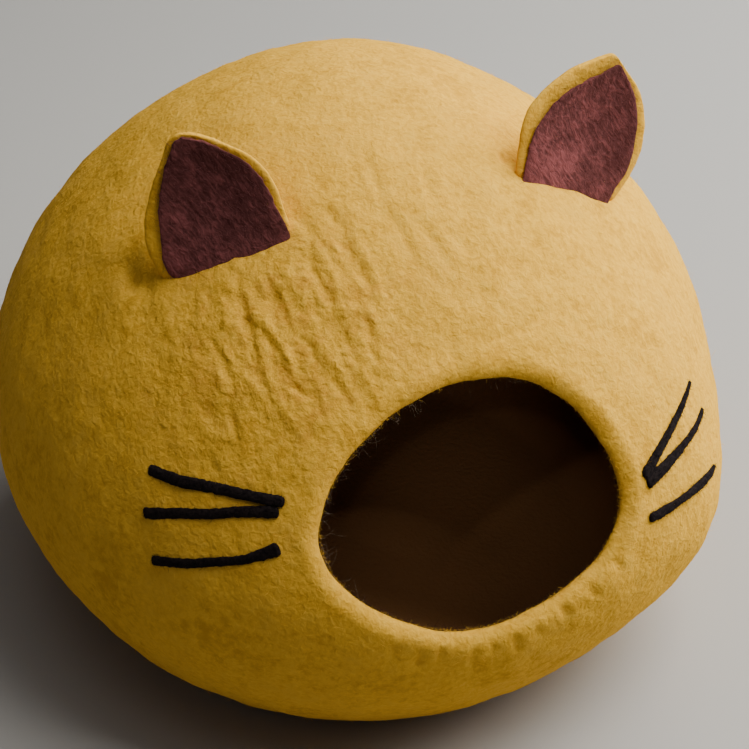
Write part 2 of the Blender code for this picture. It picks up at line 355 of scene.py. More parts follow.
def length_property(name, description, metres):
    """A size that a user may change."""
    return FloatProperty(name=name, description=description, default=metres, unit="LENGTH")


class PodSettings(bpy.types.PropertyGroup):
    """The felted pod."""
    width: length_property("Width", "Across the pod at its girth", 0.450)
    depth: length_property("Depth", "From the front to the back at the girth", 0.484)
    girth_height: length_property("Girth Height", "The widest level above the floor", 0.129)
    crown_rise: length_property("Crown Rise", "From the girth up to the crown", 0.213)
    belly_drop: length_property("Belly Drop", "From the girth to where the belly would close", 0.195)
    wall: length_property("Wall", "Thickness of the felt", 0.008)
    mouth_half_width: length_property("Mouth Half Width", "Where the wall starts to roll in", 0.1073)
    mouth_half_height: length_property("Mouth Half Height", "Where the wall starts to roll in", 0.0873)
    lip_radius: length_property("Lip Radius", "Of the rolled edge of the mouth", 0.0105)
    felt: colour_property("Felt", "Mustard wool", "E3AC36")
    # The deep felt colour is darker wool and painted shade: the mottle lays it where the bump has its
    # hollows.
    felt_deep_and_shade: colour_property("Deep Felt", "The hollows between its fibres", "CE982B")
    felt_dull: colour_property("Dull Felt", "Where browner wool is felted in", "B4741F")
    felt_pale: colour_property("Pale Felt", "The paler fibres", "EFBC43")
    # The rim colour is dark wool and painted shade: the shade just inside the rolled lip, at the
    # wall's free edge.
    rim_wool_and_shade: colour_property("Rim", "Dark wool on the wall's free edge", "24150F")
    inside: colour_property("Inside", "Brown wool felted on the inside", "96683F")


class EarSettings(bpy.types.PropertyGroup):
    """The two ears and their linings."""
    thickness: length_property("Thickness", "Of the back of an ear", 0.0045)
    lining_thickness: length_property("Lining Thickness", "Of the lining on its front", 0.0025)
    dish: length_property("Dish", "How far the middle lies behind the edges", 0.004)
    foot_flare: length_property("Foot Flare", "How far the foot spreads on the pod", 0.0035)
    lining: colour_property("Lining", "Burgundy wool", "5C3331")
    # The pale lining colour is paler, pinker wool, and painted light near each ear's left foot.
    lining_pale_and_lit: colour_property("Pale Lining", "The paler, pinker fibres in it", "854A49")
    # The deep lining colour is darker wool and painted shade: the mottle lays it where the bump has
    # its hollows.
    lining_deep_and_shade: colour_property("Deep Lining", "The hollows between its clumps", "401E1D")


class WhiskerSettings(bpy.types.PropertyGroup):
    """The six whiskers."""
    height: length_property("Height", "That a strand stands proud of the pod", 0.0018)
    wool: colour_property("Wool", "Black wool", "120E0E")


class LooseWoolSettings(bpy.types.PropertyGroup):
    """The fibres that stand off the felt."""
    thickness: length_property("Fibre Thickness", "Drawn as coarse as it needs to show", 0.00016)
    on_the_pod: IntProperty(name="On the Pod", description="Fibres on the outside", default=9500)
    at_the_mouth: IntProperty(name="At the Mouth", description="Dark fibres on the rim", default=1500)


class StageSettings(bpy.types.PropertyGroup):
    """The floor and the light."""
    floor: colour_property("Floor", "Plain pale floor", "A8A59E")
    power: FloatProperty(name="Power", description="Of all the soft lights together", default=94.0,
                         unit="POWER")
    mouth_power: FloatProperty(name="Mouth Power", default=20.0, unit="POWER",
                               description="Of the narrow beams into the mouth")
    sky: FloatProperty(name="Sky", description="Strength of the even light all round", default=0.04)


def heading(azimuth, elevation):
    """The unit vector, or an array of them, that headings in degrees point along."""
    turn, rise = np.radians(azimuth), np.radians(elevation)
    return np.stack((np.sin(turn) * np.cos(rise), -np.cos(turn) * np.cos(rise), np.sin(rise)), -1)


def unit(vectors):
    """Vectors at a length of 1."""
    return vectors / np.linalg.norm(vectors, axis=-1, keepdims=True)


def stand_on_floor(heights):
    """Presses what would hang below the floor flat on to it, with a soft turn at its edge."""
    eased = (heights + FLOOR_EASE) ** 2 / (4 * FLOOR_EASE)
    return np.where(heights > FLOOR_EASE, heights, np.where(heights < -FLOOR_EASE, 0.0, eased))


class PodShape:
    """The pod's smooth outside, as its distance in each direction from the middle of its girth."""

    def __init__(self, sizes):
        self.sizes = sizes
        self.middle = np.array((0.0, 0.0, sizes.girth_height))
        self.mouth_out = heading(0, MOUTH_ELEVATION)
        self.mouth_across = np.array((1.0, 0.0, 0.0))
        self.mouth_up = np.cross(self.mouth_out, self.mouth_across)
        self.mouth_distance = np.linalg.norm(self.skin(self.mouth_out) - self.middle)

    def distance(self, directions):
        """How far the outside is from the middle of the girth, before the floor presses it flat."""
        x, y, z = np.moveaxis(directions, -1, 0)
        across = (x / (self.sizes.width / 2)) ** 2
        along = (y / (self.sizes.depth / 2)) ** 2
        plan = across + along - PLAN_SQUARENESS * across * along / np.maximum(across + along, 1e-12)
        reach = np.where(z >= 0, self.sizes.crown_rise, self.sizes.belly_drop)
        slack = np.where(z >= 0, CROWN_SLACK, BELLY_SLACK)
        rise = (z / reach) ** 2
        distance = (plan + rise + slack * plan * rise / (plan + rise)) ** -0.5
        for swell in SWELLS:
            cosine = np.clip(directions @ heading(swell.azimuth, swell.elevation), -1, 1)
            away = np.arccos(cosine) / math.radians(swell.spread)
            distance = distance + swell.height * np.exp(-away ** 2)
        return distance

    def skin(self, directions, lift=0.0):
        """The points of the outside in directions from the middle of the girth."""
        points = self.middle + (self.distance(directions) + lift)[..., None] * directions
        points[..., 2] = stand_on_floor(points[..., 2])
        return points

    def skin_under(self, points, lift=0.0):
        """The points of the outside in line with others and the middle of the girth."""
        return self.skin(unit(points - self.middle), lift)

    def normals(self, directions):
        """The outward normals of the outside."""
        helper = np.where(np.abs(directions[..., 2:]) < 0.9, (0.0, 0.0, 1.0), (1.0, 0.0, 0.0))
        side = unit(np.cross(directions, helper))
        other = np.cross(directions, side)
        slopes = [self.skin(unit(directions + TANGENT_STEP * way))
                  - self.skin(unit(directions - TANGENT_STEP * way)) for way in (side, other)]
        return unit(np.cross(*slopes))

    def mouth_heading(self, turn, polar):
        """The direction at a polar angle from the mouth's axis and a turn round it from +X."""
        turn, polar = turn[..., None], polar[..., None]
        round_axis = np.cos(turn) * self.mouth_across + np.sin(turn) * self.mouth_up
        return np.cos(polar) * self.mouth_out + np.sin(polar) * round_axis

    def rim_polar(self, turn):
        """The polar angle at which the wall rolls in: the mouth is an ellipse, uneven by hand."""
        half = 1 / np.hypot(np.cos(turn) / self.sizes.mouth_half_width,
                            np.sin(turn) / self.sizes.mouth_half_height)
        for times, share, peak in MOUTH_WOBBLE:
            half = half * (1 + share * np.cos(times * (turn - math.radians(peak))))
        return np.arctan2(half, self.mouth_distance)

    def wall(self, turn, share, curl, over):
        """Points of the wall, at a turn round the mouth and a share of the way from it to the back.

        The curl is the angle round the rolled lip, and over the angle round the wall's free edge:
        0 on the outside and pi on the inside.
        """
        start = self.rim_polar(turn)
        polar = start + (math.pi - start) * (EVEN_ROWS * share + (1 - EVEN_ROWS) * share ** 3)
        directions = self.mouth_heading(turn, polar)
        outward = self.normals(directions)
        steps = [self.mouth_heading(turn + step, self.rim_polar(turn + step))
                 for step in (TANGENT_STEP, -TANGENT_STEP)]
        round_rim = self.skin(steps[0]) - self.skin(steps[1])
        inward = unit(np.cross(outward, round_rim))
        curl, over = curl[..., None], over[..., None]
        radius = self.sizes.lip_radius - self.sizes.wall * (1 - np.cos(over)) / 2
        out_of_roll = np.cos(curl) * outward + np.sin(curl) * inward
        on_round_roll = np.cos(curl) * inward - np.sin(curl) * outward
        middle_of_roll = self.skin(directions) - self.sizes.lip_radius * outward
        return (middle_of_roll + radius * out_of_roll
                + LIP_EDGE_LENGTH * np.sin(over) * on_round_roll)


def start_piece(name, add_primitive, **settings):
    """Adds a primitive by itself, names it and gives its object."""
    bpy.ops.object.select_all(action="DESELECT")
    add_primitive(**settings)
    piece = bpy.context.active_object
    piece.name = name
    piece.data.name = name
    return piece


def get_corners(mesh, what="co"):
    """The places or the normals of a mesh's vertices, as an array."""
    flat = np.empty(len(mesh.vertices) * 3, dtype=np.float32)
    mesh.vertices.foreach_get(what, flat)
    return flat.reshape(-1, 3).astype(float)


def set_corners(mesh, points):
    """Moves a mesh's vertices to new places."""
    mesh.vertices.foreach_set("co", points.astype(np.float32).ravel())
    mesh.update()


def set_share(mesh, name, values):
    """Gives each vertex a share from 0 to 1 that a material can read."""
    attribute = mesh.attributes.new(name, "FLOAT", "POINT")
    attribute.data.foreach_set("value", values.astype(np.float32))


def rings_and_turns(mesh, rows):
    """For a new sphere's vertices: their row from the bottom pole up, and their turn about Z."""
    x, y, z = get_corners(mesh).T
    rows_up = np.rint(np.arctan2(np.hypot(x, y), -z) / math.pi * rows)
    return rows_up, np.arctan2(y, x)


def smooth_noise(points, grain, seed):
    """Smooth noise from -1 to 1 in lumps of a size, at each of the points."""
    shift = Vector((seed * 7.3, seed * -3.1, seed * 5.7))
    return np.array([noise.noise(Vector(point) / grain + shift) for point in points])


def smooth_step(values, low, high):
    """A soft rise from 0 at low to 1 at high."""
    share = np.clip((values - low) / (high - low), 0, 1)
    return share * share * (3 - 2 * share)


def smooth_curve(places, knots, values):
    """A smooth curve through a value at each knot (Catmull and Rom's)."""
    knots, values = np.array(knots, dtype=float), np.array(values, dtype=float)
    slopes = np.gradient(values, knots)
    low = np.clip(np.searchsorted(knots, places) - 1, 0, len(knots) - 2)
    span = knots[low + 1] - knots[low]
    share = np.clip((places - knots[low]) / span, -0.5, 1)
    square, cube = share ** 2, share ** 3
    return ((2 * cube - 3 * square + 1) * values[low] + (cube - 2 * square + share) * span
            * slopes[low] + (3 * square - 2 * cube) * values[low + 1] + (cube - square) * span
            * slopes[low + 1])


def finish_piece(piece, material, slot_name, *replaced):
    """Gives a piece its material and its place in the frame."""
    piece.data.materials.clear()
    piece.data.materials.append(material)
    bpy.ops.object.select_all(action="DESELECT")
    piece.select_set(True)
    bpy.context.view_layer.objects.active = piece
    bpy.ops.object.shade_smooth()
    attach(piece, "root")
    if replaced:
        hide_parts(*replaced)


def fill_sockets(node, sockets):
    """Fills a shader node's sockets, by name or in order, with values or other nodes' outputs."""
    for key, value in sockets.items() if isinstance(sockets, dict) else enumerate(sockets):
        if isinstance(value, bpy.types.Node):
            value = next(output for output in value.outputs if output.enabled)
        if isinstance(value, bpy.types.NodeSocket):
            node.id_data.links.new(value, node.inputs[key])
        else:
            node.inputs[key].default_value = value


def add_node(tree, kind, sockets=(), **settings):
    """Adds a shader node of a kind, with its settings and what fills its sockets."""
    node = tree.nodes.new("ShaderNode" + kind)
    for name, value in settings.items():
        setattr(node, name, value)
    fill_sockets(node, sockets)
    return node


def new_material(name, roughness, sheen_weight, sheen_tint):
    """A wool material without its colour and bump: itself, its shader and its own add_node."""
    material = bpy.data.materials.new(name)
    material.use_nodes = True
    shader = material.node_tree.nodes["Principled BSDF"]
    fill_sockets(shader, {"Roughness": roughness, "Sheen Weight": sheen_weight,
                          "Sheen Roughness": SHEEN_ROUGHNESS, "Sheen Tint": sheen_tint,
                          "Specular IOR Level": SPECULAR_LEVEL})
    return material, shader, partial(add_node, material.node_tree)


def per_metre(millimetres):
    """The noise scale that gives grains of a size, in Object coordinates."""
    return 1000.0 / millimetres


def run_along(node, vector, way, stretch):
    """Draws a texture's space out along a direction."""
    turn = Vector(way).to_track_quat("Z", "Y").to_euler()
    return node("Mapping", {"Vector": vector, "Rotation": turn, "Scale": (1.0, 1.0, stretch)},
                vector_type="TEXTURE")


def shade(node, value, low, high, *colours):
    """A colour that runs evenly through others, from the first at low to the last at high."""
    share = node("MapRange", {"Value": value, "From Min": low, "From Max": high})
    ramp = node("ValToRGB", {"Fac": share})
    stops = ramp.color_ramp.elements
    stops[0].color, stops[1].color = colours[0], colours[-1]
    for number, colour in enumerate(colours[1:-1], 1):
        stops.new(number / (len(colours) - 1)).color = colour
    return ramp


def bumps(node, *layers):
    """Bumps one over another, each from a height, with a strength and a depth in millimetres."""
    under = {}
    for height, strength, depth in layers:
        under = {"Normal": node("Bump", {"Height": height, "Strength": strength,
                                         "Distance": depth * MM, **under})}
    return under["Normal"]


def mustard_felt_material(pod):
    """Wet-felted wool: matt, mottled where fibres mat together, with painted shade in its hollows, and
    dark wool on the inside, painted darker still at the free edge for the shade under the lip.
    """
    material, shader, node = new_material("Wet-felted mustard wool", 0.97, 0.05, linear("F2C038"))
    place = node("TexCoord").outputs["Object"]
    wrinkled, inside, depth = (node("Attribute", attribute_name=name).outputs["Fac"]
                               for name in ("wrinkled", "inside", "depth"))
    # the fibres' run sways over some 30 mm
    sway = node("TexNoise", {"Vector": place, "Scale": per_metre(30), "Detail": 1.0})
    swayed = node("VectorMath", (sway.outputs["Color"], (0.02, 0.02, 0.02), place),
                  operation="MULTIPLY_ADD")
    # clouds of thicker and thinner wool, some 35 mm across, and patches of 9 mm in them
    clouds = node("TexNoise", {"Vector": place, "Scale": per_metre(35)})
    patches = node("TexNoise", {"Vector": place, "Scale": per_metre(9), "Detail": 3.0,
                                "Roughness": 0.6})
    # clumps of matted fibres, 3.5 mm
    clumps = node("TexNoise", {"Vector": place, "Scale": per_metre(3.5), "Distortion": 0.4})
    # fibres in two runs, 1.5 mm wide, which is as fine as shows, and some 7 mm long
    fibres = [node("TexNoise", {"Vector": run_along(node, swayed, way, stretch),
                                "Scale": per_metre(width), "Roughness": 0.55, "Distortion": 0.3})
              for way, stretch, width in ((CREASE_FLOW, 4.5, 1.5), (CROSS_FLOW, 4, 1.6))]
    grain = node("Math", fibres, operation="ADD")
    clouded = node("Math", (clouds, 1.2, clumps), operation="MULTIPLY_ADD")
    matted = node("Math", (patches, 1.6, clouded), operation="MULTIPLY_ADD")
    mottle = node("Math", (grain, 0.4, matted), operation="MULTIPLY_ADD")
    # the deep end of this ramp is painted shade in the bump's hollows as well as darker wool
    mottled = shade(node, mottle, 1.85, 2.80, pod.felt_deep_and_shade, pod.felt, pod.felt_pale)
    # browner patches, which are plainest where the felt is wrinkled
    browner = node("Math", (patches, clouds), operation="ADD")
    dull = node("MapRange", {"Value": browner, "From Min": 0.95, "From Max": 1.35})
    strength = node("Math", (wrinkled, 0.55, 0.33), operation="MULTIPLY_ADD")
    dulled = node("Math", (dull, strength), operation="MULTIPLY")
    outside = node("Mix", {"Factor": dulled, MIX_A: mottled, MIX_B: pod.felt_dull},
                   data_type="RGBA")
    # the dark wool starts at the wall's free edge, along a ragged line; near the edge it is painted
    # near-black for the shade under the rolled lip, and it is browner deeper in
    ragged = node("Math", (clumps, 0.35, -0.17), operation="MULTIPLY_ADD")
    edge = node("Math", (inside, ragged), operation="ADD")
    within = node("MapRange", {"Value": edge, "From Min": 0.36, "From Max": 0.56})
    dark = node("Mix", {"Factor": depth, MIX_A: pod.rim_wool_and_shade, MIX_B: pod.inside}, data_type="RGBA")
    colour = node("Mix", {"Factor": within, MIX_A: outside, MIX_B: dark}, data_type="RGBA")
    # single fibres show as a fuzz, more so where the felt is wrinkled
    fuzz = node("TexNoise", {"Vector": swayed, "Scale": per_metre(1.0), "Detail": 1.0})
    contrast = node("Math", (wrinkled, 0.55, 0.12), operation="MULTIPLY_ADD")
    centred = node("Math", (fuzz, 0.5), operation="SUBTRACT")
    speck = node("Math", (centred, contrast, 1.0), operation="MULTIPLY_ADD")
    specked = node("VectorMath", {0: colour, "Scale": speck}, operation="SCALE")
    # puckers of 4 mm in the wrinkled felt, then clumps, then fibres
    puckers = node("TexNoise", {"Vector": place, "Scale": per_metre(4.6), "Detail": 0.0,
                                "Distortion": 0.3})
    puckered = node("Math", (puckers, wrinkled), operation="MULTIPLY")
    rough = node("Math", (wrinkled, 0.65, 0.35), operation="MULTIPLY_ADD")
    relief = bumps(node, (puckered, 1.0, 1.1), (clumps, 1.0, 0.95), (grain, rough, 0.22),
                   (fuzz, rough, 0.16))
    fill_sockets(shader, {"Base Color": specked, "Normal": relief})
    return material


def burgundy_felt_material(ears):
    """Needle-felted wool: shaggier than the pod, with paler pinkish fibres over darker clumps, painted
    shade in the clumps' hollows, and paler wool with painted light near each ear's left foot.
    """
    material, shader, node = new_material("Needle-felted burgundy wool", 0.95, 0.15,
                                          linear("B98580"))
    place = node("TexCoord").outputs["Object"]
    # tufts of 14 mm, clumps of 4.5 mm in them, and fibres that lie aslant
    tufts = node("TexNoise", {"Vector": place, "Scale": per_metre(14), "Detail": 1.0})
    clumps = node("TexNoise", {"Vector": place, "Scale": per_metre(4.5), "Roughness": 0.55,
                               "Distortion": 0.8})
    fibres = node("TexNoise", {"Vector": run_along(node, place, LINING_SLANT, 6),
                               "Scale": per_metre(1.9), "Distortion": 0.5})
    # the pale share brightens the lining near each ear's left foot: paler wool and painted light
    pale = node("Attribute", attribute_name="pale").outputs["Fac"]
    broad = node("Math", (tufts, clumps), operation="ADD")
    paler = node("Math", (pale, 0.5, broad), operation="MULTIPLY_ADD")
    mottle = node("Math", (fibres, 1.5, paler), operation="MULTIPLY_ADD")
    # the deep end of this ramp is painted shade in the hollows of the bumped clumps and fibres, as
    # well as darker wool
    colour = shade(node, mottle, 1.10, 2.40, ears.lining_deep_and_shade, ears.lining, ears.lining_pale_and_lit)
    relief = bumps(node, (clumps, 0.8, 1.3), (fibres, 0.9, 0.50))
    fill_sockets(shader, {"Base Color": colour, "Normal": relief})
    return material


def black_wool_material(whiskers):
    """Black wool roving felted flat: nearly black, with a faint cool sheen on its fibres."""
    material, shader, node = new_material("Felted black wool roving", 0.90, 0.06,
                                          linear("6A6062"))
    place = node("TexCoord").outputs["Object"]
    tufts = node("TexNoise", {"Vector": place, "Scale": per_metre(1.8), "Detail": 3.0,
                              "Roughness": 0.6, "Distortion": 0.8})
    colour = shade(node, tufts, 0.35, 0.75, whiskers.wool, linear("2C2422"))
    fill_sockets(shader, {"Base Color": colour, "Normal": bumps(node, (tufts, 0.8, 0.5))})
    return material


def fibre_material(name, pale, deep):
    """Single wool fibres: their colour drifts from one to the next."""
    material, shader, node = new_material(name, 0.75, 0.35, pale)
    place = node("TexCoord").outputs["Object"]
    drift = node("TexNoise", {"Vector": place, "Scale": per_metre(4), "Detail": 1.0})
    fill_sockets(shader, {"Base Color": shade(node, drift, 0.3, 0.7, deep, pale)})
    return material


def lumpy(points, rows, waves=None):
    """How far some rows of lumps raise each of the points."""
    return sum(row.height * MM * (waves or smooth_noise)(points, row.grain, row.seed)
               for row in rows)


def fold_relief(points, path, width, height, sway):
    """How far a fold along a path raises each of the points: softer banks lie beside it."""
    relief = np.zeros(len(points))
    middle, reach = path.mean(axis=0), np.ptp(path, axis=0).max() / 2 + 2.5 * width
    near = np.flatnonzero(np.linalg.norm(points - middle, axis=1) < 1.3 * reach)
    nearest = np.full(len(near), np.inf)
    along = np.zeros(len(near))
    for number, (start, end) in enumerate(zip(path[:-1], path[1:])):
        step = end - start
        share = np.clip((points[near] - start) @ step / (step @ step), 0, 1)
        away = np.linalg.norm(points[near] - start - share[:, None] * step, axis=1)
        along = np.where(away < nearest, (number + share) / (len(path) - 1), along)
        nearest = np.minimum(nearest, away)
    squared = (nearest / (width / 2 * (1 + sway[near]))) ** 2
    fade = (1 - np.abs(2 * along - 1) ** 2.5) * (1 + 1.3 * sway[near])
    relief[near] = height * fade * (1 - 0.45 * squared) * np.exp(-squared / 1.6)
    return relief


def wrinkled_share(points, middle):
    """How wrinkled the felt is at each of the points: most between the left ear and the mouth."""
    ways = unit(points - middle)
    azimuth = np.degrees(np.arctan2(ways[:, 0], -ways[:, 1]))
    elevation = np.degrees(np.arcsin(np.clip(ways[:, 2], -1, 1)))
    away = (np.stack((azimuth, elevation), -1) - WRINKLED_MIDDLE) / WRINKLED_REACH
    return np.exp(-(away ** 2).sum(axis=-1) ** 1.5)


def ripple_waves(points, grain, seed):
    """Fine folds as wet felt gets when it is rolled one way: ridges with narrow troughs between."""
    squeezed = points - (1 - 1 / RIPPLE_STRETCH) * (points @ CREASE_FLOW)[:, None] * CREASE_FLOW
    return np.sqrt(smooth_noise(squeezed, grain, seed) ** 2 + 0.01) - 0.25


def placed_fold(shape, fold):
    """The points along one of the listed folds, its width and its height."""
    knots = np.linspace(0, 1, len(fold.path))
    places = np.linspace(0, 1, FOLD_STEPS)
    toward = heading(*(smooth_curve(places, knots, column) for column in zip(*fold.path)))
    return shape.skin(toward), fold.width * MM, fold.height * MM


def scattered_folds(shape, rng):
    """Smaller folds between the main ones: their paths, widths and heights."""
    folds = []
    for _ in range(SCATTERED_FOLDS):
        place = rng.normal(SCATTER_MIDDLE, SCATTER_SPREAD)
        fade = math.exp(-(((place - SCATTER_MIDDLE) / SCATTER_FADE) ** 2).sum())
        toward = heading(*place)
        normal = shape.normals(toward)
        flow = CREASE_FLOW - normal * (normal @ CREASE_FLOW)
        lean = Matrix.Rotation(math.radians(rng.normal(3, 11)), 3, Vector(normal))
        along = np.array(lean @ Vector(flow).normalized())
        aside = np.cross(normal, along)
        half, bow = rng.uniform(6, 20) * MM, rng.normal(0, 1.6) * MM
        places = np.linspace(-1, 1, 5)[:, None]
        path = shape.skin(toward) + half * places * along + bow * (1 - places ** 2) * aside
        height = rng.choice((-1, 1)) * rng.uniform(0.3, 0.85) * fade
        folds.append((shape.skin_under(path), rng.uniform(3.6, 5.6) * MM, height * MM))
    return folds


class CATCAVE_OT_felt_pod(bpy.types.Operator):
    """Felt the pod: one wall from the outside, round the rolled lip, to the dark inside"""
    bl_idname = "catcave.felt_pod"
    bl_label = "Felt the Pod"

    def execute(self, context):
        shape = PodShape(context.scene.catcave_pod)
        pod = start_piece("pod_felt", bpy.ops.mesh.primitive_uv_sphere_add,
                          segments=POD_SEGMENTS, ring_count=POD_ROWS, radius=1.0)
        rows, turn = rings_and_turns(pod.data, POD_ROWS)
        turn -= FINE_SHARE * np.sin(turn - FINE_TURN)
        ends = np.cumsum((0, OUTSIDE_ROWS, LIP_ROWS, EDGE_ROWS, LIP_INSIDE_ROWS, INSIDE_ROWS))
        share = np.interp(rows, ends[[0, 1, 4, 5]], (1, 0, 0, 1))
        lip_end = LIP_CURL - LIP_EDGE_LENGTH / shape.sizes.lip_radius
        curl = np.interp(rows, ends[1:5], (0, lip_end, lip_end, 0))
        over = np.interp(rows, ends[2:4], (0, math.pi))
        points = shape.wall(turn, share, curl, over)
        set_corners(pod.data, points)
        self.raise_relief(shape, pod.data, points, over)
        set_share(pod.data, "inside", over / math.pi)
        # the depth share runs from the painted shade at the free edge to the brown wool deeper in
        set_share(pod.data, "depth", smooth_step(share, 0.01, 0.10) * (over > 3))
        finish_piece(pod, mustard_felt_material(context.scene.catcave_pod), "mustard_felt", "pod")
        return {"FINISHED"}

    def raise_relief(self, shape, mesh, points, over):
        """Lumps and creases in the outside; the inside has only the broad lumps."""
        outside = 1 - smooth_step(over, 0.3 * math.pi, 0.7 * math.pi)
        off_floor = smooth_step(points[:, 2], 0.004, 0.030)
        relief = lumpy(points, POD_LUMPS) + outside * lumpy(points, OUTSIDE_LUMPS)
        wrinkled = wrinkled_share(points, shape.middle) * outside
        folded = wrinkled > 0.01
        relief[folded] += wrinkled[folded] * lumpy(points[folded], RIPPLES, ripple_waves)
        outer = outside > 0.01
        sway = FOLD_SWAY * smooth_noise(points[outer], SWAY_GRAIN, 4)
        folds = [placed_fold(shape, fold) for fold in FOLDS]
        for fold in folds + scattered_folds(shape, np.random.default_rng(FOLD_SEED)):
            relief[outer] += outside[outer] * fold_relief(points[outer], *fold, sway)
        normals = get_corners(mesh, "normal")
        set_corners(mesh, points + (relief * off_floor)[:, None] * normals)
        set_share(mesh, "wrinkled", wrinkled)


class EarShape:
    """Where the felt of an ear is: a sheet that stands on the pod, a little dished."""

    def __init__(self, pod, sizes, ear):
        self.pod = pod
        self.sizes = sizes
        self.ear = ear
        self.left = pod.skin(heading(*ear.left_foot))
        right = pod.skin(heading(*ear.right_foot))
        self.across = unit(right - self.left)
        self.facing = unit(np.cross(self.across, np.array(ear.tip) - (self.left + right) / 2))
        self.up = np.cross(self.facing, self.across)

    def points(self, around, height, outline, thickness, forward):
        """Points round the section of a sheet: around is the angle, from the right edge (0)
        across the front to the left edge (pi) and back behind."""
        heights, lefts, rights = (np.array(column) * MM for column in zip(*outline))
        left, right = (smooth_curve(height, heights, column) for column in (lefts, rights))
        side = np.sign(np.cos(around)) * np.abs(np.cos(around)) ** 0.9
        roundness = np.sqrt(np.clip(1 - np.abs(side) ** EAR_EDGE_ROUNDNESS, 0, 1))
        aside = (left + right) / 2 + (right - left) / 2 * side
        share = np.clip(height / heights[-1], 0, 1)
        hollow = (1 - side ** 2) * (self.sizes.dish * np.sin(math.pi * share)
                                    - self.ear.foot_bow * (1 - share) ** 2)
        out = forward - hollow + thickness / 2 * roundness * np.sign(np.sin(around))
        return (self.left + aside[..., None] * self.across + height[..., None] * self.up
                + out[..., None] * self.facing)

    def near_pale_and_lit_foot(self, points):
        """How near each of the points is to the left end of the foot, where the lining is paler wool
        with painted light on it.
        """
        across, up, reach = PALE_AND_LIT_PLACE
        place = self.left + up * self.up + across * self.across
        return np.exp(-(np.linalg.norm(points - place, axis=1) / reach) ** 2)

    def above_pod(self, points):
        """How far each of the points is outside the pod's skin."""
        return (np.linalg.norm(points - self.pod.middle, axis=-1)
                - np.linalg.norm(self.pod.skin_under(points) - self.pod.middle, axis=-1))

    def sheet(self, around, climb, outline, thickness, forward):
        """Points of a sheet whose foot follows the pod: the climb is the share from foot to tip."""
        top = outline[-1].height * MM
        low, high = np.full_like(around, -0.02), np.full_like(around, 0.6 * top)
        for _ in range(FOOT_SEARCHES):
            middle = (low + high) / 2
            points = self.points(around, middle, outline, thickness, forward)
            inside = self.above_pod(points) < -EAR_SUNK
            low, high = np.where(inside, middle, low), np.where(inside, high, middle)
        height = high + (top - high) * (1 - (1 - climb) ** 1.5)
        return self.points(around, height, outline, thickness, forward)


def ear_sheet(name, shape, outline, thickness, forward):
    """A felt sheet with round edges that stands on the pod, made from a sphere."""
    sheet = start_piece(name, bpy.ops.mesh.primitive_uv_sphere_add, segments=EAR_SEGMENTS,
                        ring_count=EAR_ROWS, radius=1.0)
    rows, around = rings_and_turns(sheet.data, EAR_ROWS)
    climb = np.clip((rows - EAR_CAP_ROWS) / (EAR_ROWS - EAR_CAP_ROWS), 0, 1)
    points = shape.sheet(around, climb, outline, thickness, forward)
    middle_line = shape.sheet(np.full_like(around, math.pi / 2), climb, outline, 0.0, forward)
    # the last rows round the tip off and the first close the sheet under its foot
    tip_share = np.clip((climb - 1 + TIP_SHARE) / TIP_SHARE, 0, 1)
    shrink = np.sqrt(np.clip(1 - tip_share ** 2, 0, 1)) * np.clip(rows / EAR_CAP_ROWS, 0, 1)
    points = middle_line + (points - middle_line) * shrink[:, None]
    set_corners(sheet.data, points)
    return sheet, points, get_corners(sheet.data, "normal")


class CATCAVE_OT_felt_ears(bpy.types.Operator):
    """Felt the two ears on to the pod and lay their linings on them"""
    bl_idname = "catcave.felt_ears"
    bl_label = "Felt the Ears"

    def execute(self, context):
        sizes = context.scene.catcave_ears
        pod = PodShape(context.scene.catcave_pod)
        mustard = bpy.data.materials["Wet-felted mustard wool"]
        burgundy = burgundy_felt_material(sizes)
        for side, ear in EARS.items():
            shape = EarShape(pod, sizes, ear)
            self.make_back(side, shape, mustard)
            self.make_lining(side, shape, burgundy)
        return {"FINISHED"}

    def make_back(self, side, shape, material):
        """The yellow back, with a foot that spreads on the pod."""
        sizes = shape.sizes
        back, points, normals = ear_sheet(f"ear_{side}_back_felt", shape, EAR_OUTLINES[side],
                                          sizes.thickness, -sizes.thickness / 2)
        sunk = shape.above_pod(points) + EAR_SUNK
        share = np.clip(1 - sunk / (sizes.foot_flare + EAR_SUNK), 0, 1)
        flare = sizes.foot_flare * (1 - np.sqrt(1 - share ** 2))
        behind = smooth_step(-(normals @ shape.facing), -0.6, 0.2)
        outward = unit(points - shape.pod.middle)
        sideways = normals - (normals * outward).sum(axis=1)[:, None] * outward
        set_corners(back.data, points + (flare * behind)[:, None] * sideways
                    + lumpy(points, EAR_LUMPS)[:, None] * normals)
        set_share(back.data, "inside", np.zeros(len(points)))
        finish_piece(back, material, "mustard_felt", f"ear_{side}_back")

    def make_lining(self, side, shape, material):
        """The lining: a thinner, shaggier sheet with a ragged edge."""
        thickness = shape.sizes.lining_thickness
        lining, points, normals = ear_sheet(f"ear_{side}_lining_felt", shape,
                                            LINING_OUTLINES[side], thickness,
                                            thickness / 2 - LINING_SUNK)
        front = smooth_step(normals @ shape.facing, -0.7, 0.3)
        set_corners(lining.data,
                    points + (lumpy(points, LINING_LUMPS) * front)[:, None] * normals)
        # paler wool and painted light near the left foot
        set_share(lining.data, "pale", shape.near_pale_and_lit_foot(points))
        finish_piece(lining, material, "burgundy_felt", f"ear_{side}_lining")


def along_whisker(stops, shares):
    """The directions, and the widths in metres, at shares of a whisker's length."""
    azimuths, elevations, widths = zip(*stops)
    steps = np.hypot(np.diff(azimuths), np.diff(elevations))
    knots = np.concatenate(((0,), np.cumsum(steps))) / steps.sum()
    turns, rises, widths = (smooth_curve(shares, knots, column)
                            for column in (azimuths, elevations, widths))
    return heading(turns, rises), widths * MM


